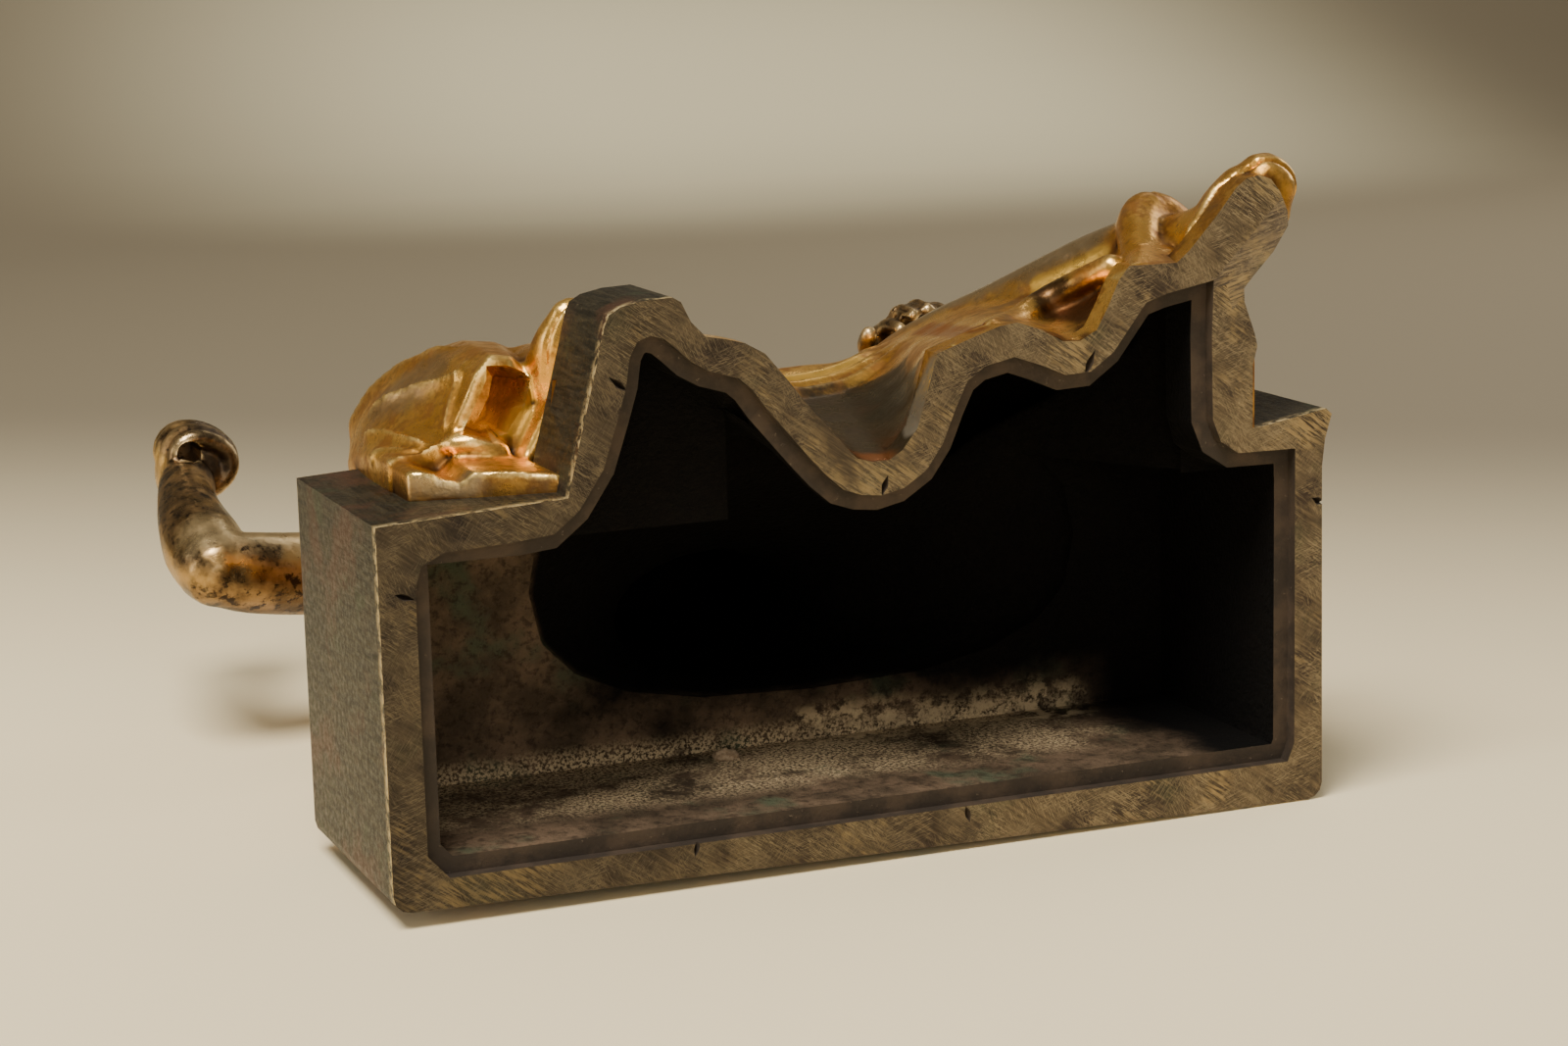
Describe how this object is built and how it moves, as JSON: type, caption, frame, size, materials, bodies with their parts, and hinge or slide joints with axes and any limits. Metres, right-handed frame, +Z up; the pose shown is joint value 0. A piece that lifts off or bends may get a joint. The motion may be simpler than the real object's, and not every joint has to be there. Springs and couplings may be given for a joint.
{
  "type": "arhat statue",
  "caption": "Seated robed arhat with a raised bare arm and a pierced fist, cast hollow in bronze with worn gilding, open below, standing on the rim of its seat.",
  "frame": {"origin": "middle of the bounding box, on the floor that the rim stands on", "axes": "+Z up, the figure faces -Y, and its own left side is at +X"},
  "size_m": [0.189, 0.1206, 0.2066],
  "materials": {
    "gilded_bronze": "dark bronze with worn gilding"
  },
  "bodies": {
    "root": {"arhat_statue": "gilded_bronze"}
  },
  "joints": []
}
